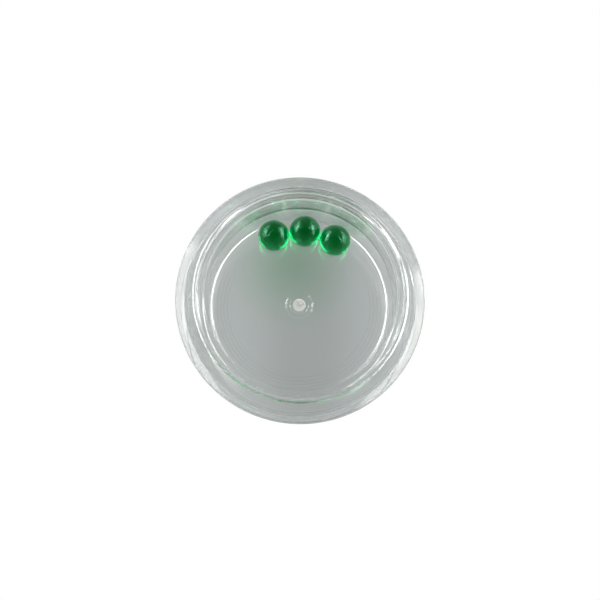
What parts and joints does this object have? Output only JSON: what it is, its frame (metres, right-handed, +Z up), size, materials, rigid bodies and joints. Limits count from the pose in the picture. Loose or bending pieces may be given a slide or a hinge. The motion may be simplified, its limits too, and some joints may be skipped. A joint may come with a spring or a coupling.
{
  "type": "jar of friction balls",
  "caption": "Small round clear screw-neck jar, open at the top, with translucent green friction balls lying loose on its floor against the wall.",
  "frame": {"origin": "centre of the foot ring, on the surface that the jar stands on", "axes": "+Z up along the jar's axis; the balls lie on the +Y side of the floor"},
  "size_m": [0.0394, 0.0394, 0.0168],
  "materials": {
    "clear_cup": "clear glossy moulded plastic, lightly scuffed on the thread and rim",
    "clear_shell": "clear glossy moulded plastic with fine handling marks",
    "green_ball": "glossy, deep translucent green all the way through"
  },
  "bodies": {
    "jar": {"inner_cup": "clear_cup", "outer_shell": "clear_shell"},
    "ball_left": {"ball_left": "green_ball"},
    "ball_middle": {"ball_middle": "green_ball"},
    "ball_right": {"ball_right": "green_ball"}
  },
  "joints": [
    {"name": "lift_left", "type": "slide", "parent": "jar", "child": "ball_left", "axis": [0, 0, 1], "range_m": [0, 0.02]},
    {"name": "lift_middle", "type": "slide", "parent": "jar", "child": "ball_middle", "axis": [0, 0, 1], "range_m": [0, 0.02]},
    {"name": "lift_right", "type": "slide", "parent": "jar", "child": "ball_right", "axis": [0, 0, 1], "range_m": [0, 0.02]}
  ]
}
